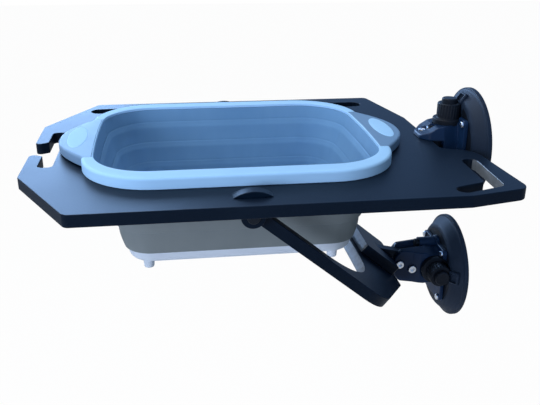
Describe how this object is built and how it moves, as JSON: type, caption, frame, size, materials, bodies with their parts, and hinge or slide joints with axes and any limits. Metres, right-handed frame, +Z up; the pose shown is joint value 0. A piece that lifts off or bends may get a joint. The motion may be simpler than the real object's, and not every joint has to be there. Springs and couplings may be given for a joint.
{
  "type": "portable sink",
  "caption": "Collapsible wash basin in a tray table that vacuum cups hold to a flat vertical surface, with a hinged sloping support under it.",
  "frame": {"origin": "centre of the upper vacuum cup's contact pad, on the plane of the wall", "axes": "+X into the wall that the cups hold, +Y away from the user along the wall, +Z up"},
  "size_m": [0.486, 0.37, 0.283],
  "materials": {
    "board": "fine matte sheet",
    "hood": "moulded, slight gloss",
    "cup_rubber": "black rubber",
    "cup_core": "moulded",
    "steel": "bright steel",
    "black_steel": "blackened",
    "bush": "plain bearing plastic",
    "pump": "moulded",
    "rim": "white, satin",
    "base": "white, satin",
    "grip": "soft grey",
    "wall": "soft grey"
  },
  "bodies": {
    "table": {"table_board": "board", "hinge_plate_front": "board", "hinge_plate_rear": "board", "pivot_bolts": "black_steel", "pivot_nuts": "steel", "upper_adapter": "hood", "upper_clamp_jaw": "hood", "upper_nose_screws": "steel", "upper_nose_nuts": "steel", "upper_flange_screws": "steel", "upper_cup_plate": "cup_core", "upper_cup_rubber": "cup_rubber", "upper_pump_barrel": "pump", "upper_pump_spring": "steel", "upper_valve_body": "hood"},
    "yoke": {"support_yoke": "board", "pivot_bushes": "bush", "yoke_block": "board", "yoke_block_screws": "steel", "lower_tongue": "board", "lower_adapter": "hood", "lower_clamp_jaw": "hood", "lower_nose_screws": "steel", "lower_nose_nuts": "steel", "lower_flange_screws": "steel", "lower_cup_plate": "cup_core", "lower_cup_rubber": "cup_rubber", "lower_pump_barrel": "pump", "lower_pump_spring": "steel", "lower_valve_body": "hood"},
    "basin": {"basin_rim": "rim", "left_grip": "grip", "right_grip": "grip", "left_grip_cap": "rim", "right_grip_cap": "rim", "wall_rim_band": "wall"},
    "band_upper": {"wall_upper_band": "wall"},
    "band_lower": {"wall_lower_band": "wall"},
    "band_base": {"wall_base_band": "wall"},
    "tray": {"basin_base": "base", "basin_feet": "base"},
    "plug": {"drain_plug": "grip", "drain_seal": "cup_rubber"},
    "upper_plunger": {"upper_pump_plunger": "pump", "upper_plunger_ring": "cup_rubber"},
    "upper_button": {"upper_valve_button": "pump"},
    "lower_plunger": {"lower_pump_plunger": "pump", "lower_plunger_ring": "cup_rubber"},
    "lower_button": {"lower_valve_button": "pump"}
  },
  "joints": [
    {"name": "support_swing", "type": "hinge", "parent": "table", "child": "yoke", "pos_m": [-0.27, 0, -0.0096], "axis": [0, 1, 0], "range_deg": [-3, 138]},
    {"name": "basin_lift", "type": "slide", "parent": "table", "child": "basin", "axis": [0, 0, 1], "range_m": [0, 0.15]},
    {"name": "basin_collapse", "type": "slide", "parent": "basin", "child": "tray", "axis": [0, 0, 1], "range_m": [0, 0.068]},
    {"name": "upper_band_fold", "type": "slide", "parent": "basin", "child": "band_upper", "axis": [0, 0, 1], "range_m": [0, 0.017]},
    {"name": "lower_band_fold", "type": "slide", "parent": "basin", "child": "band_lower", "axis": [0, 0, 1], "range_m": [0, 0.034]},
    {"name": "base_band_fold", "type": "slide", "parent": "basin", "child": "band_base", "axis": [0, 0, 1], "range_m": [0, 0.051]},
    {"name": "plug_lift", "type": "slide", "parent": "tray", "child": "plug", "axis": [0, 0, 1], "range_m": [0, 0.03]},
    {"name": "upper_pump_press", "type": "slide", "parent": "table", "child": "upper_plunger", "axis": [0, 0, -1], "range_m": [0, 0.005], "stiffness_N_per_m": 300, "springref_m": -0.004},
    {"name": "upper_release_press", "type": "slide", "parent": "table", "child": "upper_button", "axis": [1, 0, 0], "range_m": [0, 0.0025], "stiffness_N_per_m": 200, "springref_m": -0.004},
    {"name": "lower_pump_press", "type": "slide", "parent": "yoke", "child": "lower_plunger", "axis": [0, 1, 0], "range_m": [0, 0.005], "stiffness_N_per_m": 300, "springref_m": -0.004},
    {"name": "lower_release_press", "type": "slide", "parent": "yoke", "child": "lower_button", "axis": [1, 0, 0], "range_m": [0, 0.0025], "stiffness_N_per_m": 200, "springref_m": -0.004}
  ],
  "couplings": [
    {"joint": "upper_band_fold", "follows": "basin_collapse", "ratio": 0.25},
    {"joint": "lower_band_fold", "follows": "basin_collapse", "ratio": 0.5},
    {"joint": "base_band_fold", "follows": "basin_collapse", "ratio": 0.75}
  ]
}
